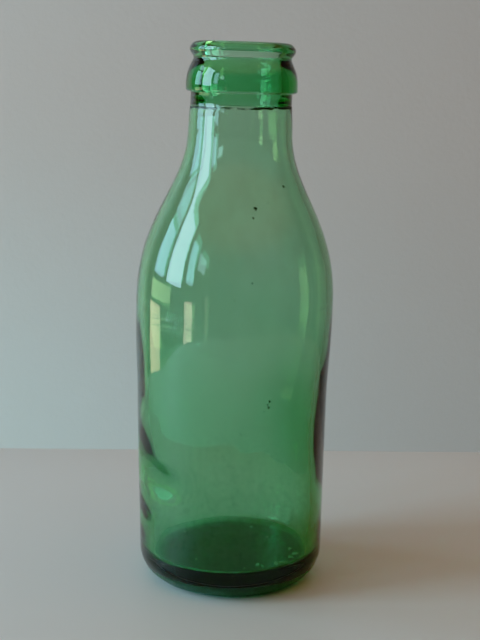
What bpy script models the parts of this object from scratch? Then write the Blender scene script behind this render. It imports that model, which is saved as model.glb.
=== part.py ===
"""A half-litre milk bottle of green glass, made in one piece in a mould.

The whole bottle is one turned wall of glass, closed by a thick floor at the foot and open
at the mouth. All lengths are in metres. The foot stands on the plane z = 0 and the bottle's
axis is +Z. Above the waist the real bottle leans a little towards +X, and so does this one.
"""

import math

import bmesh
import bpy

# Overall shape of the outside.
height = 0.2040              # from the bearing ring to the mouth
heel_r = 0.0355              # just above the rounded heel
heel_round = 0.0112          # radius of the rounded heel
waist_r = 0.0363
waist_z = 0.0673
shoulder_r = 0.0373          # the widest radius
shoulder_low_z = 0.1030      # the widest band lies between these two heights
shoulder_top_z = 0.1090
neck_r = 0.0193              # where the shoulder's curve ends in the neck
neck_drop = 0.0316           # every drop is measured down from the mouth

# The finish, as a bottle maker calls the neck ring, collar, groove and lip.
seam_r = 0.0189              # the body mould's edge at the neck
seam_drop = 0.0236
seam_step = 0.0002           # the neck ring is narrower than the body mould by this
seam_land = 0.0004           # height of the step at the seam
collar_r = 0.02055
collar_drop = 0.0151         # down to the collar's widest line
collar_foot_drop = 0.0180    # down to the collar's flat underside
collar_edge_round = 0.0009
collar_root_round = 0.0004
groove_r = 0.0180
groove_drop = 0.0059
lip_r = 0.0194               # a lip of the size that a foil cap is pressed over
lip_drop = 0.0031            # down to the lip's widest line
lip_land_r = 0.0161          # outer edge of the flat sealing face

# The inside.
bore_r = 0.0148              # through the finish
bore_edge_round = 0.0005
bore_drop = 0.0178           # the bore is straight from the mouth down to here
flare_drop = 0.0252          # and by here it has widened into the neck
neck_wall = 0.0023
shoulder_wall = 0.0026
heel_wall = 0.0040
thick_wall_z = 0.0500        # from here down the wall is as thick as at the heel
floor_z = 0.0107             # top face of the floor
floor_round = 0.0025         # inner corner between the floor and the wall

# Heights of the upper outline's main points.
neck_z = height - neck_drop
seam_z = height - seam_drop
collar_z = height - collar_drop
collar_foot_z = height - collar_foot_drop
groove_z = height - groove_drop
lip_z = height - lip_drop
bore_low_z = height - bore_drop
flare_z = height - flare_drop

# The underside.
bearing_outer_r = heel_r - heel_round
bearing_width = 0.0016       # the flat ring that the bottle stands on
push_up = 0.0006             # depth of the hollow under the floor
hollow_rise = 0.0200         # width of the slope from the ring up into the hollow

# The lean of the upper part, which bends between these two heights.
neck_lean = math.radians(1.3)
lean_low_z = 0.0510
lean_top_z = 0.0920

# How far each curve's end handles reach, as shares of the curve's height.
waist_handle_shares = (0.45, 0.45)
shoulder_handle_shares = (0.50, 0.34)
collar_handle_shares = (0.58, 0.16)
lip_handle_shares = (0.40, 0.35)
flare_handle_shares = (0.45, 0.45)

# Points this near the axis are joined on it.
axis_weld = 0.00001

# Outline points closer than this share of the height are one point.
same_point_share = 0.000001

# How finely the outline is stepped.
around_steps = 48
waist_steps = 4
shoulder_steps = 12
collar_steps = 5
lip_under_steps = 4
lip_top_steps = 5
small_round_steps = 3
heel_steps = 6
floor_round_steps = 4
flare_steps = 6
hollow_steps = 5

glass_colour = (0.20, 0.52, 0.33, 1.0)
glass_roughness = 0.04
glass_ior = 1.52


def clear_scene():
    for obj in list(bpy.data.objects):
        bpy.data.objects.remove(obj, do_unlink=True)


def new_collection(name):
    collection = bpy.data.collections.new(name)
    bpy.context.scene.collection.children.link(collection)
    return collection


def glass_material():
    """Clear bottle glass with the green of iron and chrome in the melt."""
    material = bpy.data.materials.new("green_bottle_glass")
    material.use_nodes = True
    shader = material.node_tree.nodes["Principled BSDF"]
    shader.inputs["Base Color"].default_value = glass_colour
    shader.inputs["Roughness"].default_value = glass_roughness
    shader.inputs["Metallic"].default_value = 0.0
    shader.inputs["IOR"].default_value = glass_ior
    shader.inputs["Transmission Weight"].default_value = 1.0
    material.diffuse_color = glass_colour
    return material


def eased(share):
    """A share from 0 to 1 that starts and ends gently."""
    share = min(max(share, 0), 1)
    return share * share * (3 - 2 * share)


def upright_curve(start, end, handle_shares, steps):
    """Points (r, z) on a curve that leaves start and reaches end running straight up or down."""
    rise = end[1] - start[1]
    controls = (
        start,
        (start[0], start[1] + rise * handle_shares[0]),
        (end[0], end[1] - rise * handle_shares[1]),
        end,
    )
    points = []
    for step in range(steps + 1):
        t = step / steps
        weights = ((1 - t) ** 3, 3 * t * (1 - t) ** 2, 3 * t * t * (1 - t), t ** 3)
        r = sum(weight * point[0] for weight, point in zip(weights, controls))
        z = sum(weight * point[1] for weight, point in zip(weights, controls))
        points.append((r, z))
    return points


def round_corner(centre, reach, start_deg, end_deg, steps):
    """Points (r, z) on a quarter round; reach is its half-width and half-height."""
    points = []
    for step in range(steps + 1):
        angle = math.radians(start_deg + (end_deg - start_deg) * step / steps)
        points.append((centre[0] + reach[0] * math.cos(angle), centre[1] + reach[1] * math.sin(angle)))
    return points


def joined(*stretches):
    """One outline from several, each starting where the last one ended."""
    outline = []
    for stretch in stretches:
        for point in stretch:
            if not outline or math.dist(point, outline[-1]) > height * same_point_share:
                outline.append(point)
    return outline


def body_side():
    """The outside from the seam under the neck ring down to the heel's rounding."""
    shoulder = upright_curve(
        (neck_r, neck_z), (shoulder_r, shoulder_top_z), shoulder_handle_shares[::-1], shoulder_steps
    )
    waist = upright_curve((shoulder_r, shoulder_low_z), (waist_r, waist_z), waist_handle_shares, waist_steps)
    return joined([(seam_r, seam_z)], shoulder, waist, [(heel_r, heel_round)])


def lip_and_collar():
    """The finish, from the flat sealing face down to the neck ring's foot."""
    lip_top = round_corner((lip_land_r, lip_z), (lip_r - lip_land_r, height - lip_z), 90, 0, lip_top_steps)
    lip_under = upright_curve((lip_r, lip_z), (groove_r, groove_z), lip_handle_shares, lip_under_steps)
    collar_top = upright_curve(
        (groove_r, groove_z), (collar_r, collar_z), collar_handle_shares[::-1], collar_steps
    )
    edge_centre = (collar_r - collar_edge_round, collar_foot_z + collar_edge_round)
    collar_edge = round_corner(
        edge_centre, (collar_edge_round, collar_edge_round), 0, -90, small_round_steps
    )
    ring_r = seam_r - seam_step
    root_centre = (ring_r + collar_root_round, collar_foot_z - collar_root_round)
    collar_root = round_corner(
        root_centre, (collar_root_round, collar_root_round), 90, 180, small_round_steps
    )
    return joined(lip_top, lip_under, collar_top, collar_edge, collar_root, [(ring_r, seam_z + seam_land)])


def foot():
    """The rounded heel, the bearing ring and the hollow under the floor, down to the axis."""
    heel = round_corner(
        (heel_r - heel_round, heel_round), (heel_round, heel_round), 0, -90, heel_steps
    )
    ring_inner_r = bearing_outer_r - bearing_width
    hollow = []
    for step in range(hollow_steps + 1):
        share = step / hollow_steps
        hollow.append((ring_inner_r - hollow_rise * share, push_up * eased(share)))
    return joined(heel, hollow, [(0, push_up)])


def wall_at(z):
    """Thickness of the glass beside the outside's point at height z."""
    if z >= shoulder_top_z:
        rise = eased((z - shoulder_top_z) / (neck_z - shoulder_top_z))
        return shoulder_wall + (neck_wall - shoulder_wall) * rise
    drop = eased((shoulder_top_z - z) / (shoulder_top_z - thick_wall_z))
    return shoulder_wall + (heel_wall - shoulder_wall) * drop


def inside():
    """The inside from the middle of the floor up to the mouth's inner edge."""
    side = body_side()
    wall = []
    for before, point, after in zip(side, side[1:], side[2:]):
        along = (after[0] - before[0], after[1] - before[1])
        length = math.hypot(*along)
        thickness = wall_at(point[1])
        wall.append(
            (point[0] + along[1] / length * thickness, point[1] - along[0] / length * thickness)
        )
    wall_foot = (heel_r - heel_wall, floor_z + floor_round)
    corner = round_corner(
        (wall_foot[0] - floor_round, wall_foot[1]), (floor_round, floor_round), -90, 0, floor_round_steps
    )
    upper = [point for point in reversed(wall) if wall_foot[1] < point[1] < flare_z]
    flare = upright_curve(
        (upper[-1][0], flare_z), (bore_r, bore_low_z), flare_handle_shares, flare_steps
    )
    edge_centre = (bore_r + bore_edge_round, height - bore_edge_round)
    edge = round_corner(
        edge_centre, (bore_edge_round, bore_edge_round), 180, 90, small_round_steps
    )
    return joined([(0, floor_z)], corner, upper, flare, edge)


def turned_body(collection, material):
    """The glass, turned from its outline; the outline runs down its outer side."""
    outline = joined(inside(), lip_and_collar(), body_side(), foot())
    mesh = bpy.data.meshes.new("glass_body")
    form = bmesh.new()
    corners = [form.verts.new((r, 0, z)) for r, z in outline]
    for corner, following in zip(corners, corners[1:]):
        form.edges.new((corner, following))
    form.to_mesh(mesh)
    form.free()
    mesh.materials.append(material)
    body = bpy.data.objects.new("glass_body", mesh)
    collection.objects.link(body)

    turn = body.modifiers.new("turn", "SCREW")
    turn.axis = "Z"
    turn.angle = math.tau
    turn.steps = around_steps
    turn.render_steps = around_steps
    turn.use_merge_vertices = True
    turn.merge_threshold = axis_weld
    turn.use_smooth_shade = True
    return body


def lean_upper_part(body, collection):
    """Bends the bottle between two heights, and leaves it straight below and above them."""
    bend_foot = bpy.data.objects.new("bend_foot", None)
    bend_foot.location = (0, 0, lean_low_z)
    collection.objects.link(bend_foot)

    lean = body.modifiers.new("lean", "SIMPLE_DEFORM")
    lean.deform_method = "BEND"
    lean.deform_axis = "Y"
    lean.origin = bend_foot
    lean.angle = neck_lean
    lean.limits = (lean_low_z / height, lean_top_z / height)


def build():
    clear_scene()
    bottle = new_collection("milk_bottle")
    glass = glass_material()
    body = turned_body(bottle, glass)
    lean_upper_part(body, bottle)


build()
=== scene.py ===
import math

import bpy
from mathutils import Matrix, Vector, noise


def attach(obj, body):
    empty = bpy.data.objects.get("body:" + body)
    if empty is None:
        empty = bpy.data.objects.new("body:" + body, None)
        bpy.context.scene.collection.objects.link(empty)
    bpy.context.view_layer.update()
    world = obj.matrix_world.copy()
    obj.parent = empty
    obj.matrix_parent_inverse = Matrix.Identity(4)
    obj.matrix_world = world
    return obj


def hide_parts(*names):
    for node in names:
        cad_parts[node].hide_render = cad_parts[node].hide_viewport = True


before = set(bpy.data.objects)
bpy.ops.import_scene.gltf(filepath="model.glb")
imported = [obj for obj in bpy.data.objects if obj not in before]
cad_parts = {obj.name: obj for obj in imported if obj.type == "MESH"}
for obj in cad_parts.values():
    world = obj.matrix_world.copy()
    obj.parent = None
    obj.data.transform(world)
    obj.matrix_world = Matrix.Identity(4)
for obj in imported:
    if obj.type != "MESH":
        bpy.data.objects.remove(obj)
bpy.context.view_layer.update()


def deselectAll():
    for thing in bpy.context.selected_objects:
        thing.select_set(False)


def setActive(thing):
    deselectAll()
    thing.select_set(True)
    bpy.context.view_layer.objects.active = thing


def pickFaces(thing, wanted):
    # selects the faces whose middle passes the test, from edit mode and back into it
    bpy.ops.mesh.select_mode(type="FACE")
    bpy.ops.mesh.select_all(action="DESELECT")
    bpy.ops.object.mode_set(mode="OBJECT")
    for face in thing.data.polygons:
        face.select = wanted(face.center)
    bpy.ops.object.mode_set(mode="EDIT")


class Wire:  # one socket, so that + - * / on values add their Math nodes
    def __init__(self, tree, socket):
        self.tree = tree
        self.socket = socket

    def maths(self, operation, other=0.0, swapped=False, clamp=False):
        node = self.tree.nodes.new("ShaderNodeMath")
        node.operation = operation
        node.use_clamp = clamp
        first, second = (other, self) if swapped else (self, other)
        for slot, value in zip(node.inputs, (first, second)):
            if isinstance(value, Wire):
                self.tree.links.new(value.socket, slot)
            else:
                slot.default_value = value
        return Wire(self.tree, node.outputs[0])

    def __add__(self, other):
        return self.maths("ADD", other)

    def __radd__(self, other):
        return self.maths("ADD", other)

    def __sub__(self, other):
        return self.maths("SUBTRACT", other)

    def __rsub__(self, other):
        return self.maths("SUBTRACT", other, swapped=True)

    def __mul__(self, other):
        return self.maths("MULTIPLY", other)

    def __rmul__(self, other):
        return self.maths("MULTIPLY", other)

    def clamped(self):
        return self.maths("ADD", 0.0, clamp=True)

    def size(self):
        return self.maths("ABSOLUTE")

    def most(self, other):
        return self.maths("MAXIMUM", other)

    def sibling(self, output):
        # another output of the same node
        return Wire(self.tree, self.socket.node.outputs[output])


fullShare = 0.4     # of a patch's half-width, within which it is at its fullest


class Nodes:  # a node tree, with one method for every other kind of node
    def __init__(self, tree):
        self.tree = tree

    def put(self, value, socket):
        if isinstance(value, Wire):
            self.tree.links.new(value.socket, socket)
        else:
            socket.default_value = value

    def node(self, kind, settings=None, sockets=None, out=0):
        node = self.tree.nodes.new(kind)
        settings = dict(settings or {})
        stops = settings.pop("stops", None)
        for name, value in settings.items():
            setattr(node, name, value)
        if stops:  # a ramp's stops: place, colour
            ramp = node.color_ramp.elements
            while len(ramp) < len(stops):
                ramp.new(0.5)
            for element, (place, colour) in zip(ramp, stops):
                element.position = place
                element.color = colour
        for name, value in (sockets or {}).items():
            self.put(value, node.inputs[name])
        return Wire(self.tree, node.outputs[out])

    def eased(self, value, low, high):
        # 0 below low, 1 above high and a soft rise between them
        return self.node("ShaderNodeMapRange", {"interpolation_type": "SMOOTHSTEP"},
                         {"Value": value, "From Min": low, "From Max": high})

    def band(self, value, low, high, soft):
        # 1 between low and high, with a soft rise and fall inside them
        return self.eased(value, low, low + soft) * (1 - self.eased(value, high - soft, high))

    def mixed(self, share, first, second):
        return self.node("ShaderNodeMix", {"data_type": "RGBA"}, {0: share, 6: first, 7: second}, out=2)

    def grain(self, place, scale, detail=2.0, warp=0.0):
        return self.node("ShaderNodeTexNoise", None,
                         {"Vector": place, "Scale": scale, "Detail": detail, "Distortion": warp})

    def stretched(self, place, scales):
        return self.node("ShaderNodeMapping", None, {"Vector": place, "Scale": scales})

    def spots(self, place, spots):
        # spots: their number to a metre, detail, warp, and the grain from which they rise and are full
        scale, detail, warp, low, high = spots
        return self.eased(self.grain(place, scale, detail, warp), low, high)

    def around(self, outward, turnDegrees, halfDegrees):
        # 1 near one side of the bottle, 0 further round than the half-width
        turn = math.radians(turnDegrees)
        near = self.node("ShaderNodeVectorMath", {"operation": "DOT_PRODUCT"},
                         {0: outward, 1: (math.cos(turn), math.sin(turn), 0)}, out=1)
        full = halfDegrees * fullShare
        return self.eased(near, math.cos(math.radians(halfDegrees)), math.cos(math.radians(full)))


class Finish(Nodes):  # a material with its principled shader
    def __init__(self, name):
        self.material = bpy.data.materials.new(name)
        self.material.use_nodes = True
        super().__init__(self.material.node_tree)
        self.shader = self.tree.nodes["Principled BSDF"]
        self.output = self.tree.nodes["Material Output"]
        self.place = self.node("ShaderNodeTexCoord", out=3)  # object coordinates, in metres

    def set(self, **values):
        for name, value in values.items():
            self.put(value, self.shader.inputs[name.replace("_", " ")])


glass = {
    "height": 0.2040,            # from the bearing ring to the mouth
    "heelRadius": 0.03546,
    "heelRound": 0.0112,
    "waistRadius": 0.03626,
    "waistHeight": 0.0673,
    "shoulderRadius": 0.03724,
    "shoulderLow": 0.1030,
    "shoulderTop": 0.1090,
    "neckRadius": 0.0193,
    "neckHeight": 0.1724,
    "seamRadius": 0.0189,
    "seamHeight": 0.1804,
    "seamStep": 0.0002,
    "seamLand": 0.0004,
    "collarRadius": 0.02055,
    "collarHeight": 0.1889,
    "collarFoot": 0.1860,
    "collarEdgeRound": 0.0009,
    "collarRootRound": 0.0004,
    "grooveRadius": 0.0180,
    "grooveHeight": 0.1981,
    "lipRadius": 0.0194,
    "lipHeight": 0.2009,
    "lipLandRadius": 0.0161,
    "boreRadius": 0.0148,
    "boreEdgeRound": 0.0005,
    "boreLow": 0.1862,
    "flareLow": 0.1788,          # the bore has widened into the neck by here
    "neckWall": 0.0023,
    "shoulderWall": 0.0026,
    "heelWall": 0.0040,
    "thickWallTop": 0.0500,      # from here down the wall is as thick as at the heel
    "floorHeight": 0.0107,
    "floorRound": 0.0025,
    "bearingWidth": 0.0016,
    "pushUp": 0.0006,
    "hollowRise": 0.0200,        # width of the slope from the bearing ring up into the hollow
    "leanDegrees": 1.3,
    "leanLow": 0.0510,
    "leanTop": 0.0920,
    "waistHandles": (0.45, 0.45),
    "shoulderHandles": (0.50, 0.34),
    "collarHandles": (0.58, 0.16),
    "lipHandles": (0.40, 0.35),
    "flareHandles": (0.45, 0.45),
    "heelSeamDegrees": 58,       # the line between body mould and bottom plate, down the heel's round
    "heelSeamHalf": 0.4,         # half the line's width, in degrees
    "heelSeamFoot": 1.5,         # how far from its middle it begins to rise
    "seamRidge": 0.00003,        # how far the mould's seams stand out
    "stepsAround": 192,
    "longestStep": 0.0026,       # along the outline
    "landStep": 0.0012,          # along the neck ring
    "smoothDegrees": 40,         # edges sharper than this stay sharp
}
# how many steps each curve of the outline has
curveSteps = {
    "shoulder": 36, "waist": 14, "lipTop": 12, "lipUnder": 9, "collarTop": 14, "collarEdge": 7,
    "collarRoot": 5, "heelAbove": 10, "heelBelow": 6, "hollow": 10, "floorCorner": 9, "flare": 12,
    "boreEdge": 4,
}
samePoint = 1e-6             # points of the outline nearer than this are one


def eased(share):
    share = min(max(share, 0), 1)
    return share * share * (3 - 2 * share)


def uprightCurve(start, end, handles, steps):
    rise = end[1] - start[1]
    controls = (
        start,
        (start[0], start[1] + rise * handles[0]),
        (end[0], end[1] - rise * handles[1]),
        end,
    )
    points = []
    for step in range(steps + 1):
        t = step / steps
        shares = ((1 - t) ** 3, 3 * t * (1 - t) ** 2, 3 * t * t * (1 - t), t ** 3)
        points.append(tuple(sum(s * c[k] for s, c in zip(shares, controls)) for k in (0, 1)))
    return points


def roundCorner(centre, reach, startDegrees, endDegrees, steps):
    points = []
    for step in range(steps + 1):
        angle = math.radians(startDegrees + (endDegrees - startDegrees) * step / steps)
        points.append((centre[0] + reach[0] * math.cos(angle), centre[1] + reach[1] * math.sin(angle)))
    return points


def joined(*stretches):
    outline = []
    for stretch in stretches:
        for point in stretch:
            if not outline or math.dist(point, outline[-1]) > samePoint:
                outline.append(point)
    return outline


def filled(points, longest):
    # adds points where two lie further apart than the longest step
    dense = [points[0]]
    for before, after in zip(points, points[1:]):
        parts = max(1, math.ceil(math.dist(before, after) / longest))
        for part in range(1, parts + 1):
            dense.append(tuple(a + (b - a) * part / parts for a, b in zip(before, after)))
    return dense


def bodySide():
    g = glass
    shoulder = uprightCurve(
        (g["neckRadius"], g["neckHeight"]), (g["shoulderRadius"], g["shoulderTop"]),
        g["shoulderHandles"][::-1], curveSteps["shoulder"])
    waist = uprightCurve(
        (g["shoulderRadius"], g["shoulderLow"]), (g["waistRadius"], g["waistHeight"]),
        g["waistHandles"], curveSteps["waist"])
    seam = (g["seamRadius"], g["seamHeight"])
    heel = (g["heelRadius"], g["heelRound"])
    return filled(joined([seam], shoulder, waist, [heel]), g["longestStep"])


def finishOutline():
    g = glass
    lipTop = roundCorner(
        (g["lipLandRadius"], g["lipHeight"]),
        (g["lipRadius"] - g["lipLandRadius"], g["height"] - g["lipHeight"]),
        90, 0, curveSteps["lipTop"])
    lipUnder = uprightCurve(
        (g["lipRadius"], g["lipHeight"]), (g["grooveRadius"], g["grooveHeight"]),
        g["lipHandles"], curveSteps["lipUnder"])
    collarTop = uprightCurve(
        (g["grooveRadius"], g["grooveHeight"]), (g["collarRadius"], g["collarHeight"]),
        g["collarHandles"][::-1], curveSteps["collarTop"])
    edge = g["collarEdgeRound"]
    collarEdge = roundCorner(
        (g["collarRadius"] - edge, g["collarFoot"] + edge), (edge, edge),
        0, -90, curveSteps["collarEdge"])
    ring = g["seamRadius"] - g["seamStep"]
    root = g["collarRootRound"]
    collarRoot = roundCorner(
        (ring + root, g["collarFoot"] - root), (root, root), 90, 180, curveSteps["collarRoot"])
    land = filled([collarRoot[-1], (ring, g["seamHeight"] + g["seamLand"])], g["landStep"])
    return joined(lipTop, lipUnder, collarTop, collarEdge, collarRoot, land)


def footOutline():
    g = glass
    centre = (g["heelRadius"] - g["heelRound"], g["heelRound"])
    plain, ridge = g["heelRound"], g["heelRound"] + g["seamRidge"]
    seam = -g["heelSeamDegrees"]
    half, wide = g["heelSeamHalf"], g["heelSeamFoot"]
    above = roundCorner(centre, (plain, plain), 0, seam + wide, curveSteps["heelAbove"])
    line = roundCorner(centre, (ridge, ridge), seam + half, seam - half, 1)
    below = roundCorner(centre, (plain, plain), seam - wide, -90, curveSteps["heelBelow"])
    inner = g["heelRadius"] - g["heelRound"] - g["bearingWidth"]
    steps = curveSteps["hollow"]
    hollow = [(inner - g["hollowRise"] * k / steps, g["pushUp"] * eased(k / steps))
              for k in range(steps + 1)]
    middle = filled([hollow[-1], (0, g["pushUp"])], g["longestStep"])
    return joined(above, line, below, hollow, middle)


def wallAt(z):
    g = glass
    if z >= g["shoulderTop"]:
        rise = eased((z - g["shoulderTop"]) / (g["neckHeight"] - g["shoulderTop"]))
        return g["shoulderWall"] + (g["neckWall"] - g["shoulderWall"]) * rise
    drop = eased((g["shoulderTop"] - z) / (g["shoulderTop"] - g["thickWallTop"]))
    return g["shoulderWall"] + (g["heelWall"] - g["shoulderWall"]) * drop


def insideOutline():
    g = glass
    side = bodySide()
    wall = []
    for before, point, after in zip(side, side[1:], side[2:]):
        along = (after[0] - before[0], after[1] - before[1])
        length = math.hypot(*along)
        thick = wallAt(point[1])
        wall.append((point[0] + along[1] / length * thick, point[1] - along[0] / length * thick))
    wallFoot = (g["heelRadius"] - g["heelWall"], g["floorHeight"] + g["floorRound"])
    corner = roundCorner(
        (wallFoot[0] - g["floorRound"], wallFoot[1]), (g["floorRound"],) * 2,
        -90, 0, curveSteps["floorCorner"])
    upper = [point for point in reversed(wall) if wallFoot[1] < point[1] < g["flareLow"]]
    flare = uprightCurve(
        (upper[-1][0], g["flareLow"]), (g["boreRadius"], g["boreLow"]),
        g["flareHandles"], curveSteps["flare"])
    edge = g["boreEdgeRound"]
    boreEdge = roundCorner(
        (g["boreRadius"] + edge, g["height"] - edge), (edge, edge), 180, 90, curveSteps["boreEdge"])
    floor = filled([(0, g["floorHeight"]), corner[0]], g["longestStep"])
    bore = filled([(g["boreRadius"], g["boreLow"]), boreEdge[0]], g["longestStep"])
    return joined(floor, corner, upper, flare, bore, boreEdge)


def outerRadiusAt(side, z):
    for upper, lower in zip(side, side[1:]):
        if lower[1] <= z <= upper[1] and upper[1] > lower[1]:
            share = (z - lower[1]) / (upper[1] - lower[1])
            return lower[0] + (upper[0] - lower[0]) * share
    return side[-1][0]


def makeBottle():
    outline = joined(insideOutline(), finishOutline(), bodySide(), footOutline())
    deselectAll()
    first = outline[0]
    bpy.ops.mesh.primitive_plane_add(size=0.001, location=(first[0], 0, first[1]))
    bottle = bpy.context.active_object
    bottle.name = bottle.data.name = "bottleGlass"
    bpy.ops.object.transform_apply(location=True, rotation=True, scale=True)
    bpy.ops.object.mode_set(mode="EDIT")
    bpy.ops.mesh.select_mode(type="VERT")
    bpy.ops.mesh.select_all(action="SELECT")
    bpy.ops.mesh.merge(type="CENTER")
    for before, point in zip(outline, outline[1:]):
        move = (point[0] - before[0], 0, point[1] - before[1])
        bpy.ops.mesh.extrude_region_move(TRANSFORM_OT_translate={"value": move})
    bpy.ops.mesh.select_all(action="SELECT")
    bpy.ops.mesh.spin(steps=glass["stepsAround"], angle=math.tau, center=(0, 0, 0), axis=(0, 0, 1))
    bpy.ops.mesh.select_all(action="SELECT")
    bpy.ops.mesh.remove_doubles(threshold=0.000005)
    bpy.ops.mesh.normals_make_consistent(inside=False)
    bpy.ops.object.mode_set(mode="OBJECT")
    print("bottle turned:", len(outline), "outline points,", len(bottle.data.polygons), "faces")
    return bottle


def leanBottle(bottle):
    bendFoot = bpy.data.objects.new("bendFoot", None)
    bendFoot.location = (0, 0, glass["leanLow"])
    bpy.context.scene.collection.objects.link(bendFoot)
    setActive(bottle)
    lean = bottle.modifiers.new("lean", "SIMPLE_DEFORM")
    lean.deform_method = "BEND"
    lean.deform_axis = "Y"
    lean.origin = bendFoot
    lean.angle = math.radians(glass["leanDegrees"])
    lean.limits = (glass["leanLow"] / glass["height"], glass["leanTop"] / glass["height"])
    bpy.context.view_layer.update()
    bpy.ops.object.modifier_apply(modifier="lean")
    bpy.data.objects.remove(bendFoot, do_unlink=True)
    bpy.ops.object.shade_smooth_by_angle(angle=math.radians(glass["smoothDegrees"]))


unevenness = {
    # depth and size of the waves in the inner wall, and where in the noise they are taken from
    "waves": (0.00024, 0.032, (0, 5, 2)),
    "ripples": (0.00006, 0.011, (9, 0, 4)),
    "floorWaves": (0.0004, 0.022, (3, 1, 7)),
    "floorWavesFade": 0.004,     # width of the floor's edge, where its waves die out
    "ringSeamWander": (0.00028, 0.004, (1, 2, 3)),
    "fromFloor": 0.006,          # the wall's unevenness grows over this height above the floor's corner
    "toBore": 0.010,             # and dies out over this height below the bore
    "cornerFrom": 0.024,         # radius from which the floor takes the wall's unevenness
    "cornerWidth": 0.007,
    # rings of thicker glass: height, half-height, thickness added
    "rings": ((0.0120, 0.0100, 0.0008),),
    # where the glass settled thicker: turn from +X and height, half-width in degrees, half-height,
    # thickness added
    "lumps": (
        (24, 0.0575, 36, 0.0190, 0.0026),
        (188, 0.0500, 22, 0.0075, 0.0009),
        (192, 0.0262, 15, 0.0036, 0.0006),
        (222, 0.0432, 18, 0.0060, 0.0016),
        (160, 0.0830, 34, 0.0120, 0.0009),
        (70, 0.0900, 30, 0.0200, 0.0004),
        (255, 0.1180, 40, 0.0150, 0.0003),
    ),
    "lumpSquareness": 2.6,       # 2 for a plain hump, more for a flatter top
    "choppySide": (62, 30),      # choppy glass at the back: turn from +X and half-width
    "choppyWaves": (0.00030, 0.010, (4, 4, 0)),
    # how far past the plain inner face its points are looked for
    "footSlack": 0.0001,
    "floorSlack": 0.0005,
    "wallShare": 0.6,            # of the wall's thickness
    "boreSlack": 0.0018,
}


def lumpAt(turn, z):
    extra = 0
    for lumpTurn, height, width, half, thick in unevenness["lumps"]:
        across = (turn - lumpTurn + 180) % 360 - 180
        upright = abs((z - height) / half) ** unevenness["lumpSquareness"]
        extra += thick * math.exp(-(across / width) ** 2 - upright)
    return extra


def wave(place, waves):
    depth, size, shift = waves
    return depth * noise.noise(place / size + Vector(shift))


def addedAt(place):
    # how much thicker than the plain wall the glass is at a place on its inner face
    u = unevenness
    turn = math.degrees(math.atan2(place.y, place.x))
    low = eased((place.z - glass["floorHeight"] - glass["floorRound"]) / u["fromFloor"])
    high = eased((glass["flareLow"] - place.z) / u["toBore"])
    waves = wave(place, u["waves"]) + wave(place, u["ripples"])
    choppyTurn, width = u["choppySide"]
    across = (turn - choppyTurn + 180) % 360 - 180
    waves += wave(place, u["choppyWaves"]) * math.exp(-(across / width) ** 2)
    rings = sum(thick * math.exp(-((place.z - height) / half) ** 2)
                for height, half, thick in u["rings"])
    return (waves + lumpAt(turn, place.z)) * low * high + rings


def moveOut(vert, distance):
    # along the radius, away from the axis
    radius = max(math.hypot(vert.co.x, vert.co.y), 0.001)
    vert.co.x *= 1 + distance / radius
    vert.co.y *= 1 + distance / radius


def unevenInside(bottle):
    # blown glass is smooth outside, where it met the mould, and wavy inside
    g, u = glass, unevenness
    side = bodySide()
    wallFoot = g["floorHeight"] + g["floorRound"] - u["footSlack"]
    floorLow = g["floorHeight"] - u["floorSlack"]
    floorEdge = g["heelRadius"] - u["wallShare"] * g["heelWall"]
    boreSide = g["boreRadius"] + u["boreSlack"]
    for vert in bottle.data.vertices:
        place = vert.co.copy()
        radius = math.hypot(place.x, place.y)
        inWall = wallFoot < place.z < g["seamHeight"] and \
            radius < outerRadiusAt(side, place.z) - wallAt(place.z) / 2
        inBore = g["seamHeight"] <= place.z < g["lipHeight"] and radius < boreSide
        onFloor = floorLow < place.z <= wallFoot and radius < floorEdge
        if inWall or inBore:
            moveOut(vert, -addedAt(place))
        elif onFloor:
            moveOut(vert, -addedAt(place) * eased((radius - u["cornerFrom"]) / u["cornerWidth"]))
            fade = eased((g["heelRadius"] - g["heelWall"] - radius) / u["floorWavesFade"])
            vert.co.z += wave(Vector((place.x, place.y, 0)), u["floorWaves"]) * fade


mouldSeams = {
    "turnDegrees": -83.4,        # the front seam; the other is opposite
    "halfWidthDegrees": 0.35,
    "from": 0.0045,
    "to": 0.2000,
    "onSeamDegrees": 0.05,       # a point this near the seam's plane is on it
    "cutDegrees": 3,             # faces within this reach are cut along the seam
    "lipFrom": 0.0169,           # radius from which the top of the lip counts as outside
    # how far inside the outer face a place may lie and count as outside: a face, a point, and
    # either at the heel
    "faceSlack": 0.0016,
    "pointSlack": 0.0010,
    "heelSlack": 0.0060,
}


def raiseMouldSeams(bottle):
    # an upright hair line down the front and back, where the halves of the mould met
    m = mouldSeams
    side = bodySide()

    def offSeam(place):
        turn = math.degrees(math.atan2(place.y, place.x)) - m["turnDegrees"]
        return abs((turn + 90) % 180 - 90)

    def outside(place, slack):
        radius = math.hypot(place.x, place.y)
        if place.z > glass["seamHeight"]:
            return radius > m["lipFrom"]
        if place.z > glass["heelRound"]:
            return radius > outerRadiusAt(side, place.z) - slack
        return radius > outerRadiusAt(side, glass["heelRound"]) - m["heelSlack"]

    def onSeam(place, reachDegrees, slack):
        within = m["from"] < place.z < m["to"]
        return within and offSeam(place) < reachDegrees and outside(place, slack)

    setActive(bottle)
    bpy.ops.object.mode_set(mode="EDIT")
    for turn in (-m["halfWidthDegrees"], 0, m["halfWidthDegrees"]):
        pickFaces(bottle, lambda middle: onSeam(middle, m["cutDegrees"], m["faceSlack"]))
        across = math.radians(m["turnDegrees"] + turn + 90)
        bpy.ops.mesh.bisect(plane_co=(0, 0, 0), plane_no=(math.cos(across), math.sin(across), 0))
    bpy.ops.mesh.select_mode(type="VERT")
    bpy.ops.object.mode_set(mode="OBJECT")
    raised = 0
    for vert in bottle.data.vertices:
        if onSeam(vert.co, m["onSeamDegrees"], m["pointSlack"]):
            moveOut(vert, glass["seamRidge"])
            raised += 1
    print("mould seams raised at", raised, "points")


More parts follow.
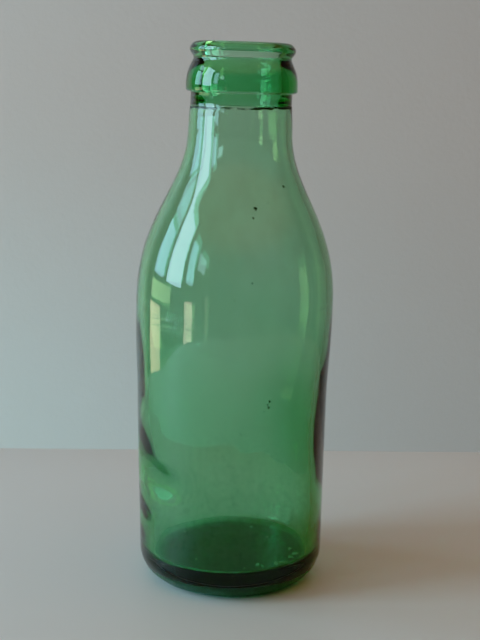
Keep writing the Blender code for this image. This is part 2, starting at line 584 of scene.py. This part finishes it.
def jitterRingSeam(bottle):
    # the seam under the neck ring wanders a little
    for vert in bottle.data.vertices:
        near = abs(vert.co.z - glass["seamHeight"] - glass["seamLand"] / 2)
        outer = math.hypot(vert.co.x, vert.co.y) > glass["grooveRadius"]
        if near < 2 * glass["seamLand"] and outer:
            vert.co.z += wave(vert.co.copy(), unevenness["ringSeamWander"])


seedDepthShare = 0.45        # of the wall's thickness, in from the outer face
seedSlimness = 0.62          # every seed is this much narrower than its own figures say
# bubbles shut in the wall: turn from +X in degrees, height, length, and length against width
seeds = {
    "inShoulder": (-66, 0.1480, 0.00075, 1.8),
    "inShoulderLow": (-118, 0.1330, 0.00060, 1.5),
    "inBodyHigh": (-84, 0.1085, 0.00070, 1.3),
    "inBodyLeft": (-141, 0.0930, 0.00055, 2.0),
    "inBody": (-69, 0.0768, 0.00110, 1.2),
    "inBodyBelow": (-71, 0.0742, 0.00080, 1.3),
    "inBodyRight": (-38, 0.0620, 0.00060, 1.6),
    "lowLeft": (-120, 0.0380, 0.00070, 1.4),
    "lowRight": (-52, 0.0300, 0.00060, 1.2),
    "behindHigh": (64, 0.1290, 0.00080, 1.7),
    "behindMiddle": (118, 0.0850, 0.00075, 1.4),
    "behindLow": (82, 0.0440, 0.00090, 1.3),
}


def addSeeds(bottle):
    side = bodySide()
    deselectAll()
    bpy.ops.mesh.primitive_ico_sphere_add(subdivisions=2, radius=0.5, location=(0, 0, 0))
    model = bpy.context.active_object
    bpy.ops.object.mode_set(mode="EDIT")
    bpy.ops.mesh.select_all(action="SELECT")
    bpy.ops.transform.resize(value=(seedSlimness, seedSlimness, 1.0))
    bpy.ops.mesh.flip_normals()      # a hollow in the glass faces into itself
    bpy.ops.object.mode_set(mode="OBJECT")
    made = []
    for name, (turn, height, length, stretch) in seeds.items():
        seed = bpy.data.objects.new(name, model.data.copy())
        bpy.context.scene.collection.objects.link(seed)
        radius = outerRadiusAt(side, height) - wallAt(height) * seedDepthShare
        angle = math.radians(turn)
        seed.data.transform(
            Matrix.Translation((radius * math.cos(angle), radius * math.sin(angle), height))
            @ Matrix.Diagonal((length / stretch, length / stretch, length, 1)))
        made.append(seed)
    bpy.data.objects.remove(model, do_unlink=True)
    setActive(bottle)
    for seed in made:
        seed.select_set(True)
    bpy.ops.object.join()
    print("seeds shut in:", len(made))


bottle = makeBottle()
unevenInside(bottle)
raiseMouldSeams(bottle)
jitterRingSeam(bottle)
addSeeds(bottle)
leanBottle(bottle)
print("bottle shaped,", len(bottle.data.polygons), "faces")

glassLook = {
    "tint": (0.975, 0.98, 0.975, 1.0),
    "refraction": 1.52,
    "absorbed": (0.814, 0.949, 0.860, 1.0),
    "absorbDensity": 1000.0,
    "polish": 0.012,             # roughness where the glass is clean
    "smudge": 0.045,             # added where it was handled
    "worn": 0.22,                # added in the rubbed bands
    "underneath": 0.70,          # added under the foot
    "scuffed": 0.30,             # added on the heel below the line that the bottle slides and tips on
    "scuffedBelow": 0.0070,
    # painted light: a green coat on the heel that stands for light seen through its glass
    "heelGlowColour": (0.10, 0.50, 0.24, 1.0),
    "heelGlowShare": 0.08,
    "grimeAndShade": (0.68, 0.58, 0.66, 1.0),   # what the dirt under the foot lets through, darkened further as painted shade under the bottle
    "wobble": 0.00008,           # height of the mould's unevenness in the outer face
    # patches where a dried film takes the gloss: turn from +X, half-width in degrees, lower and
    # upper height, share
    "dullPatches": (
        (68, 26, 0.056, 0.150, 1.0),
        (42, 34, 0.052, 0.104, 1.0),
        (42, 26, 0.070, 0.150, 0.6),
    ),
    "lowDirt": 0.055,            # how much the dirt on the lower wall darkens each face of it
    "dustColour": (0.66, 0.66, 0.60, 1.0),
    "dust": 0.004,
    "wornDust": 0.04,
    "dustRoughness": 0.9,
    "stains": 0.03,              # dried splashes low down
    "brownFilm": (0.75, 0.36, 0.34, 1.0),
    # where the shoulder has brown smears: turn from +X, half-width, lower and upper height, share
    "smeared": (-72, 64, 0.118, 0.170, 0.15),
    "dirtColour": (0.018, 0.013, 0.008, 1.0),
    # bands rubbed by other bottles and by the crate: lower and upper height
    "wornBands": ((0.0995, 0.1130), (0.0100, 0.0150)),
    # spots of each kind: their number to a metre, detail, warp, and the grain from which they rise
    # and from which they are full
    "rubbedPatches": (70, 3, 0, 0.40, 0.66),
    "scratches": (1, 3, 0, 0.50, 0.72),
    "seamDirtPatches": (130, 2, 0, 0.38, 0.50),
    "smearPatches": (110, 4, 0, 0.30, 0.66),
    "lowStreaks": (1, 3, 0, 0.42, 0.72),
    "lowGrains": (420, 3, 0, 0.50, 0.66),
    "smudgePatches": (34, 4, 0.6, 0.42, 0.72),
    "filmPatches": (9, 3, 0, 0.30, 0.75),
    "settledDust": (900, 2, 0, 0.60, 0.74),
    "stainSpots": (420, 1, 0, 0.60, 0.68),
    # how many times as fine the patterns are along x, y and z
    "scratchStretch": (60, 60, 2600),
    "streakStretch": (300, 300, 70),
    "smearStretch": (1, 1, 0.5),
    "wobbleStretch": (1, 1, 0.6),
    "wobbleGrain": (95, 1),      # number to a metre and detail
    "raggedGrain": (1300, 1),    # the specks' uneven edges
    "speckEdge": (0.9, 1.3),     # where a speck is full and where it ends, against its radius
    "pinprickShare": 0.7,
    "dirtRoughness": 0.5,
    "scratchBump": 0.3,          # against the wobble's height
    # what each part of a mixture weighs: streaks, grains and an even layer, then film, settled dust
    # and smudges
    "lowDirtParts": (0.9, 1.3, 0.2),
    "dustParts": (0.5, 0.6, 0.4),
    "scuffedEdge": 0.0008,
    # heights over which things begin and end
    "lowDirtFrom": (0.0112, 0.0160),
    "lowDirtTo": (0.030, 0.064),
    "stainsFrom": (0.016, 0.022),
    "stainsTo": (0.028, 0.048),
    "underneathTo": (0.0012, 0.0022),
    "softEdge": 0.018,           # of the dull patches
    "smearEdge": 0.016,
    "seamDirtWander": (260, 2, 0.0016),      # number to a metre, detail and height
    "seamDirtHalf": (0.00022, 0.00055),      # half-height where it is full and where it ends
    # pinpricks: cells to a metre, the tone from which a cell has one, and where it is full and ends
    "pinpricks": (115.0, (0.82, 0.84), (0.012, 0.026)),
    # dark specks burnt into the glass: place and radius
    "specks": (
        ((0.0078, -0.0266, 0.1462), 0.00119),
        ((0.0071, -0.0284, 0.1429), 0.00075),
        ((0.0179, -0.0177, 0.1532), 0.00088),
        ((-0.0119, -0.0272, 0.1405), 0.00056),
        ((0.0069, -0.0358, 0.1210), 0.00050),
        ((0.0007, -0.0370, 0.1151), 0.00056),
        ((0.0136, -0.0339, 0.0779), 0.00075),
        ((0.0132, -0.0339, 0.0757), 0.00075),
        ((-0.0062, -0.0352, 0.0560), 0.00050),
        ((0.0190, 0.0300, 0.0930), 0.00075),
        ((-0.0240, 0.0230, 0.1300), 0.00063),
    ),
}


def glassFinish():
    look = glassLook
    finish = Finish("greenBottleGlass")
    place = finish.place
    height = finish.node("ShaderNodeSeparateXYZ", None, {0: place}, out=2)

    # rubbed bands: fine scratches that run round the bottle, broken up
    scratches = finish.spots(finish.stretched(place, look["scratchStretch"]), look["scratches"])
    patches = finish.spots(place, look["rubbedPatches"])
    worn = 0
    for low, high in look["wornBands"]:
        worn = finish.band(height, low, high, (high - low) / 3) + worn
    worn = worn * patches * scratches

    # dirt left in the seam under the neck ring, thick in some places and gone in others
    scale, detail, most = look["seamDirtWander"]
    wander = finish.grain(place, scale, detail) * most - most / 2
    fromSeam = (height + wander - glass["seamHeight"] - glass["seamLand"] / 2).size()
    seamDirt = 1 - finish.eased(fromSeam, *look["seamDirtHalf"])
    seamDirt = seamDirt * finish.spots(place, look["seamDirtPatches"])

    specks = 0
    full, end = look["speckEdge"]
    ragged = finish.grain(place, *look["raggedGrain"])
    for where, radius in look["specks"]:
        gap = finish.node("ShaderNodeVectorMath", {"operation": "DISTANCE"},
                          {0: place, 1: where}, out=1)
        gap = gap + ragged * radius
        specks = (1 - finish.eased(gap, radius * full, radius * end)).most(specks)
    dirt = seamDirt.most(specks)

    # fine specks all over, one in some of the cells
    cellsAcross, chosenFrom, size = look["pinpricks"]
    cells = finish.node("ShaderNodeTexVoronoi", None, {"Vector": place, "Scale": cellsAcross})
    tone = finish.node("ShaderNodeSeparateColor", None, {0: cells.sibling("Color")})
    pinpricks = (1 - finish.eased(cells, *size)) * finish.eased(tone, *chosenFrom)
    dirt = dirt.most(pinpricks * look["pinprickShare"])

    # a dried film in patches
    level = finish.node("ShaderNodeVectorMath", {"operation": "MULTIPLY"}, {0: place, 1: (1, 1, 0)})
    outward = finish.node("ShaderNodeVectorMath", {"operation": "NORMALIZE"}, {0: level})
    dull = 0
    for turn, half, low, high, share in look["dullPatches"]:
        patch = finish.around(outward, turn, half) * finish.band(height, low, high, look["softEdge"])
        dull = (patch * share).most(dull)

    # dirt low on the wall, in streaks and grains
    streaks = finish.spots(finish.stretched(place, look["streakStretch"]), look["lowStreaks"])
    grains = finish.spots(place, look["lowGrains"])
    streakPart, grainPart, evenPart = look["lowDirtParts"]
    lowDirt = (streaks * streakPart + grains * grainPart + evenPart) * look["lowDirt"]
    lowDirt = lowDirt * finish.eased(height, *look["lowDirtFrom"])
    lowDirt = lowDirt * (1 - finish.eased(height, *look["lowDirtTo"]))

    # brown smears on the shoulder
    turn, half, low, high, share = look["smeared"]
    smears = finish.around(outward, turn, half) * finish.band(height, low, high, look["smearEdge"])
    patches = finish.spots(finish.stretched(place, look["smearStretch"]), look["smearPatches"])
    smears = smears * patches * share

    smudges = finish.spots(place, look["smudgePatches"])
    underneath = 1 - finish.eased(height, *look["underneathTo"])
    film = finish.spots(place, look["filmPatches"])
    settled = finish.spots(place, look["settledDust"])
    stains = finish.spots(place, look["stainSpots"]) * finish.eased(height, *look["stainsFrom"])
    stains = stains * (1 - finish.eased(height, *look["stainsTo"]))
    scuffed = 1 - finish.eased(height, look["scuffedBelow"] - look["scuffedEdge"], look["scuffedBelow"])
    scuffed = scuffed * (1 - underneath)

    roughness = smudges * look["smudge"] + look["polish"] + worn * look["worn"]
    roughness = roughness + underneath * look["underneath"] + scuffed * look["scuffed"]
    roughness = roughness + dirt * look["dirtRoughness"]
    # under the foot the tint is darker: dirt, and painted shade under the bottle
    tint = finish.mixed(underneath, look["tint"], look["grimeAndShade"])
    tint = finish.mixed(smears, tint, look["brownFilm"])
    tint = finish.mixed(dirt.most(lowDirt), tint, look["dirtColour"])
    finish.set(Base_Color=tint, Roughness=roughness, IOR=look["refraction"], Transmission_Weight=1.0)

    wobble = finish.grain(finish.stretched(place, look["wobbleStretch"]), *look["wobbleGrain"])
    bump = finish.node("ShaderNodeBump", None,
                       {"Height": wobble + worn * look["scratchBump"], "Distance": look["wobble"],
                        "Strength": 1.0})
    finish.set(Normal=bump)

    # the same glass without its gloss
    flat = finish.node("ShaderNodeBsdfPrincipled", None,
                       {"Base Color": tint, "Roughness": roughness, "IOR": look["refraction"],
                        "Transmission Weight": 1.0, "Specular Tint": (0, 0, 0, 1), "Normal": bump})
    clear = finish.node("ShaderNodeMixShader", None,
                        {0: dull, 1: Wire(finish.tree, finish.shader.outputs[0]), 2: flat})

    # a thin film of dust, heavier in the rubbed bands, and a green coat on the heel that is painted
    # light, the glow seen through the heel's glass
    filmPart, settledPart, smudgePart = look["dustParts"]
    dust = (film * filmPart + settled * settledPart + smudges * smudgePart) * look["dust"]
    dust = dust + worn * look["wornDust"]
    dust = (dust + stains * look["stains"]) * (1 - underneath) + scuffed * look["heelGlowShare"]
    # the heel's green is painted light, not dust
    dustColour = finish.mixed(scuffed, look["dustColour"], look["heelGlowColour"])
    dustAndHeelGlow = finish.node("ShaderNodeBsdfPrincipled", None,
                         {"Base Color": dustColour, "Roughness": look["dustRoughness"]})
    surface = finish.node("ShaderNodeMixShader", None, {0: dust.clamped(), 1: clear, 2: dustAndHeelGlow})
    finish.put(surface, finish.output.inputs["Surface"])

    depth = finish.node("ShaderNodeVolumeAbsorption", None,
                        {"Color": look["absorbed"], "Density": look["absorbDensity"]})
    finish.put(depth, finish.output.inputs["Volume"])
    return finish.material


bottle.data.materials.append(glassFinish())
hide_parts("glass_body")
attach(bottle, "root")
print("glass finished")


crumbs = {
    "colour": (0.96, 0.96, 0.92, 1.0),
    "shade": (0.80, 0.78, 0.70, 1.0),
    "shadePatches": (900, 3, 0, 0.35, 0.70),
    "shine": 0.35,               # as roughness
    "pits": (4000, 2, 0.00005),  # number to a metre, detail and depth
    "size": 0.00140,
    "ragged": 0.16,              # how far a crumb's points stray, against its width
    "middle": 0.25,              # height of a crumb's middle over the floor, against its width
    "flatness": 0.6,             # thickness against width
    "longer": 0.5,               # every second in three is this much longer, every third twice as much
    "turn": 2.4,                 # from one crumb to the next, in radians
    # places on the floor inside, and how large against the size
    "places": (
        (0.0100, -0.0215, 1.0), (0.0117, -0.0222, 0.7), (0.0168, -0.0203, 1.2), (0.0177, -0.0196, 0.9),
        (0.0189, -0.0190, 1.1), (0.0204, -0.0184, 0.6), (0.0226, -0.0140, 1.3), (0.0233, -0.0065, 0.9),
        (0.0247, -0.0106, 1.0), (0.0150, 0.0052, 0.8), (-0.0125, -0.0168, 0.6), (0.0052, -0.0243, 0.5),
        (-0.0190, 0.0110, 0.7), (0.0085, 0.0170, 0.6),
    ),
}


def crumbFinish():
    finish = Finish("dryCrumb")
    patchy = finish.spots(finish.place, crumbs["shadePatches"])
    colour = finish.mixed(patchy, crumbs["colour"], crumbs["shade"])
    finish.set(Base_Color=colour, Roughness=crumbs["shine"])
    scale, detail, depth = crumbs["pits"]
    bump = finish.node("ShaderNodeBump", None,
                       {"Height": finish.grain(finish.place, scale, detail), "Distance": depth})
    finish.set(Normal=bump)
    return finish.material


def makeCrumbs():
    # dry bits lying on the floor inside
    deselectAll()
    bpy.ops.mesh.primitive_ico_sphere_add(subdivisions=2, radius=0.5, location=(0, 0, 0))
    model = bpy.context.active_object
    bpy.ops.object.mode_set(mode="EDIT")
    bpy.ops.mesh.select_all(action="SELECT")
    bpy.ops.transform.vertex_random(offset=crumbs["ragged"], seed=5)
    bpy.ops.mesh.normals_make_consistent(inside=False)
    bpy.ops.object.mode_set(mode="OBJECT")
    made = []
    for count, (x, y, share) in enumerate(crumbs["places"]):
        crumb = bpy.data.objects.new("crumb", model.data.copy())
        bpy.context.scene.collection.objects.link(crumb)
        size = crumbs["size"] * share
        lift = wave(Vector((x, y, 0)), unevenness["floorWaves"]) + size * crumbs["middle"]
        long = size * (1 + crumbs["longer"] * (count % 3))
        crumb.data.transform(
            Matrix.Translation((x, y, glass["floorHeight"] + lift))
            @ Matrix.Rotation(count * crumbs["turn"], 4, "Z")
            @ Matrix.Diagonal((long, size, size * crumbs["flatness"], 1)))
        made.append(crumb)
    bpy.data.objects.remove(model, do_unlink=True)
    setActive(made[0])
    for crumb in made:
        crumb.select_set(True)
    bpy.ops.object.join()
    made[0].name = made[0].data.name = "floorCrumbs"
    made[0].data.materials.append(crumbFinish())
    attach(made[0], "root")
    print("crumbs laid:", len(crumbs["places"]))


makeCrumbs()

stage = {
    "tableCentre": (0.02, -0.08),
    # the table's rim: turn in degrees and distance from its centre
    "tableRim": ((0, 0.412), (150, 0.366), (167, 0.354), (175, 0.364), (183, 0.382), (192, 0.405),
                 (202, 0.432), (212, 0.443), (231, 0.441), (250, 0.4245), (276, 0.398), (302, 0.394),
                 (330, 0.403), (360, 0.412)),
    "tableThickness": 0.03,
    "tableBack": 0.156,
    "tableEdgeRound": 0.002,
    "tableColour": (0.69, 0.68, 0.68, 1),
    "wallDistance": 0.95,
    "wallMiddle": 0.4,           # height of the wall's middle
    "wallSize": (5, 3),
    # the wall's colours carry painted light: lighter low down on the left, painted shade low on the
    # right
    "wallTop": (0.650, 0.565, 0.555, 1),
    "litWallLow": (0.665, 0.740, 0.780, 1),
    "shadedWallLowRight": (0.590, 0.580, 0.600, 1),
    # where one colour passes into the other: along x, and in height from the wall's middle
    "wallAcross": (-0.25, 0.30),
    "wallUp": (-0.30, 0.22),
    "wallMottle": (5, 3, 0.05),      # number to a metre, detail and depth of the uneven paint
    "wallGrain": (160, 4, 0.0003),   # the same for the plaster's height
    "floorColour": (0.66, 0.68, 0.68, 1),
    "floorDrop": 0.72,
    "floorRadius": 3.0,
    "tableSteps": 144,
    "floorSteps": 96,
}


def plainFinish(name, colour, roughness):
    finish = Finish(name)
    finish.set(Base_Color=colour, Roughness=roughness)
    return finish.material


def wallWithPaintedLight():
    # painted light and shade in the wall's colour: lighter and cooler low down on the window's side,
    # painted shade towards the right, warmer higher up
    finish = Finish("paleWall")
    across = finish.node("ShaderNodeSeparateXYZ", None, {0: finish.place})
    height = finish.node("ShaderNodeSeparateXYZ", None, {0: finish.place}, out=2)
    right = finish.eased(across, *stage["wallAcross"])
    low = finish.mixed(right, stage["litWallLow"], stage["shadedWallLowRight"])
    colour = finish.mixed(finish.eased(height, *stage["wallUp"]), low, stage["wallTop"])
    scale, detail, depth = stage["wallMottle"]
    mottle = finish.grain(finish.place, scale, detail) * depth + (1 - depth / 2)
    shade = finish.node("ShaderNodeVectorMath", {"operation": "SCALE"}, {0: colour, "Scale": mottle})
    finish.set(Base_Color=shade, Roughness=0.8)
    scale, detail, depth = stage["wallGrain"]
    bump = finish.node("ShaderNodeBump", None,
                       {"Height": finish.grain(finish.place, scale, detail), "Distance": depth})
    finish.set(Normal=bump)
    return finish.material


def rimAt(turn):
    rim = stage["tableRim"]
    for (low, near), (high, far) in zip(rim, rim[1:]):
        if low <= turn <= high:
            return near + (far - near) * (turn - low) / (high - low)


def makeTable():
    deselectAll()
    x, y = stage["tableCentre"]
    thick = stage["tableThickness"]
    bpy.ops.mesh.primitive_cylinder_add(
        vertices=stage["tableSteps"], radius=1, depth=thick, location=(x, y, -thick / 2))
    table = bpy.context.active_object
    table.name = "tableTop"
    for vert in table.data.vertices:
        reach = rimAt(math.degrees(math.atan2(vert.co.y, vert.co.x)) % 360)
        vert.co.x *= reach
        vert.co.y *= reach
    bpy.ops.object.transform_apply(location=True, rotation=True, scale=True)
    bpy.ops.object.mode_set(mode="EDIT")
    bpy.ops.mesh.select_all(action="SELECT")
    bpy.ops.mesh.bisect(
        plane_co=(0, stage["tableBack"], 0), plane_no=(0, 1, 0), use_fill=True, clear_outer=True)
    bpy.ops.object.mode_set(mode="OBJECT")
    bevel = table.modifiers.new("edge", "BEVEL")
    bevel.width = stage["tableEdgeRound"]
    bevel.segments = 4
    bevel.limit_method = "ANGLE"
    bevel.angle_limit = math.radians(40)
    bpy.ops.object.modifier_apply(modifier="edge")
    bpy.ops.object.shade_smooth_by_angle(angle=math.radians(40))
    table.data.materials.append(plainFinish("paleTable", stage["tableColour"], 0.5))


def makeWallAndFloor():
    deselectAll()
    bpy.ops.mesh.primitive_plane_add(
        size=1, location=(0, stage["wallDistance"], stage["wallMiddle"]),
        rotation=(math.radians(90), 0, 0))
    wall = bpy.context.active_object
    wall.name = "paleWall"
    wall.scale = (*stage["wallSize"], 1)
    bpy.ops.object.transform_apply(location=True, rotation=True, scale=True)
    wall.data.materials.append(wallWithPaintedLight())
    deselectAll()
    bpy.ops.mesh.primitive_circle_add(
        vertices=stage["floorSteps"], radius=stage["floorRadius"], fill_type="NGON",
        location=(0, 0, -stage["floorDrop"]))
    floor = bpy.context.active_object
    floor.name = "paleFloor"
    floor.data.materials.append(plainFinish("paleFloor", stage["floorColour"], 0.8))


makeTable()
makeWallAndFloor()

# soft light panels in the shape of a window, each as y from, y to, z from, z to and
# brightness in red, green and blue
windowSide = -1.5
windowPanels = {
    "paneA": (0.05, 0.55, 0.20, 0.80, (2.4, 4.3, 5.5)),
    "paneAbove": (0.02, 0.55, 0.87, 1.12, (2.0, 3.6, 4.2)),
    "paneB": (-0.72, -0.10, 0.18, 1.25, (5.0, 8.5, 10.0)),
    "paneC": (-1.25, -0.90, 0.28, 1.12, (2.5, 4.9, 5.8)),
    "garden": (-0.30, 0.60, -0.06, 0.13, (1.9, 2.5, 1.4)),
    "sunnyFrameA": (0.12, 0.64, -0.60, -0.10, (4.1, 3.6, 2.3)),
    "sunnyFrameC": (-1.28, -0.90, -0.60, -0.02, (5.4, 4.7, 3.6)),
    "sunnyFrameD": (-2.48, -2.22, -0.60, 0.10, (1.1, 1.2, 0.8)),
}


def seenStraight(nodes):
    # 1 where a place is seen straight on, or through glass without a reflection on the way
    path = nodes.node("ShaderNodeLightPath")
    notShiny = (1 - path.sibling("Glossy Depth")).clamped()
    notMatt = (1 - path.sibling("Diffuse Depth")).clamped()
    return (path + path.sibling("Is Transmission Ray") * (notShiny * notMatt)).clamped()


def panelFinish(name, brightness):
    # shines into the room, and isn't there for whoever looks straight at it
    finish = Finish(name)
    behind = finish.node("ShaderNodeNewGeometry", out=6)     # 1 on the back
    glow = finish.node("ShaderNodeEmission", None, {"Color": (*brightness, 1)})
    dark = finish.node("ShaderNodeEmission", None, {"Color": (0, 0, 0, 1)})
    oneSided = finish.node("ShaderNodeMixShader", None, {0: behind, 1: glow, 2: dark})
    clear = finish.node("ShaderNodeBsdfTransparent")
    shown = finish.node("ShaderNodeMixShader", None, {0: seenStraight(finish), 1: oneSided, 2: clear})
    finish.put(shown, finish.output.inputs["Surface"])
    finish.tree.nodes.remove(finish.shader)
    return finish.material


def softPanel(name, panel):
    yFrom, yTo, zFrom, zTo, brightness = panel
    deselectAll()
    bpy.ops.mesh.primitive_plane_add(
        size=1, location=(windowSide, (yFrom + yTo) / 2, (zFrom + zTo) / 2),
        rotation=(0, math.radians(90), 0))
    thing = bpy.context.active_object
    thing.name = name
    thing.scale = (zTo - zFrom, yTo - yFrom, 1)
    bpy.ops.object.transform_apply(location=True, rotation=True, scale=True)
    thing.data.materials.append(panelFinish(name, brightness))


for name, panel in windowPanels.items():
    softPanel(name, panel)

farPane = {  # a soft lamp beside the panels
    "place": (windowSide, -1.71, 0.855),
    "width": 0.39,
    "length": 0.58,
    "brightness": (2.0, 3.5, 3.8),
}


def softLamp():
    light = bpy.data.lights.new("farPane", "AREA")
    light.shape = "RECTANGLE"
    light.size, light.size_y = farPane["width"], farPane["length"]
    light.color = [part / max(farPane["brightness"]) for part in farPane["brightness"]]
    light.energy = max(farPane["brightness"]) * math.pi * light.size * light.size_y
    lamp = bpy.data.objects.new("farPane", light)
    lamp.location = farPane["place"]
    lamp.rotation_euler = (0, math.radians(-90), 0)      # shines towards +X
    bpy.context.scene.collection.objects.link(lamp)


softLamp()

room = {
    "dark": (0.08, 0.075, 0.065, 1),
    "warmCeiling": (0.45, 0.26, 0.13, 1),
    "ceilingFrom": 0.35,         # as the sine of the height above the horizon
    "ceilingTo": 0.60,
    "backdrop": (0.33, 0.34, 0.335, 1),
}


def makeWorld():
    world = bpy.data.worlds.new("room")
    world.use_nodes = True
    nodes = Nodes(world.node_tree)
    place = nodes.node("ShaderNodeTexCoord")
    up = nodes.node("ShaderNodeSeparateXYZ", sockets={0: place}, out=2)
    rise = nodes.eased(up, room["ceilingFrom"], room["ceilingTo"])
    inside = nodes.mixed(rise, room["dark"], room["warmCeiling"])
    colour = nodes.mixed(seenStraight(nodes), inside, room["backdrop"])
    nodes.put(colour, world.node_tree.nodes["Background"].inputs["Color"])
    bpy.context.scene.world = world


makeWorld()

view = {
    "place": (0, -0.464, 0.1959),
    "pitchDegrees": 11.6056,     # down
    "yawDegrees": 0.3611,        # to the right
    "rollDegrees": 0.6045,
    "lens": 69.97,
    # light and how bright it is shown: the darkest tones fall off faster, and highlights are held back
    "darkTones": ((0.008, 0.002), (0.016, 0.006), (0.030, 0.017), (0.050, 0.043), (0.080, 0.080)),
    "lightTones": ((0.50, 0.50), (0.65, 0.60), (0.80, 0.68)),
    "brightest": 0.78,
}


def setTones():
    # the photo's darkest tones are deeper than the light itself, and its highlights softer
    tones = bpy.context.scene.view_settings
    tones.use_curve_mapping = True
    curve = tones.curve_mapping.curves[3]    # the one for all colours together
    curve.points[0].location = (0, 0)
    curve.points[1].location = (1, view["brightest"])
    for light, shown in view["darkTones"] + view["lightTones"]:
        curve.points.new(light, shown)
    for point in curve.points:
        point.handle_type = "VECTOR"
    tones.curve_mapping.update()


lens = bpy.data.cameras.new("photoCamera")
lens.lens = view["lens"]
lens.sensor_width = 36
lens.clip_start = 0.01
camera = bpy.data.objects.new("photoCamera", lens)
camera.matrix_world = (
    Matrix.Translation(view["place"])
    @ Matrix.Rotation(-math.radians(view["yawDegrees"]), 4, "Z")
    @ Matrix.Rotation(math.radians(90 - view["pitchDegrees"]), 4, "X")
    @ Matrix.Rotation(math.radians(view["rollDegrees"]), 4, "Z")
)
bpy.context.scene.collection.objects.link(camera)
bpy.context.scene.camera = camera
bpy.context.scene.view_settings.view_transform = "Standard"
setTones()
print("stage, lights and camera set")
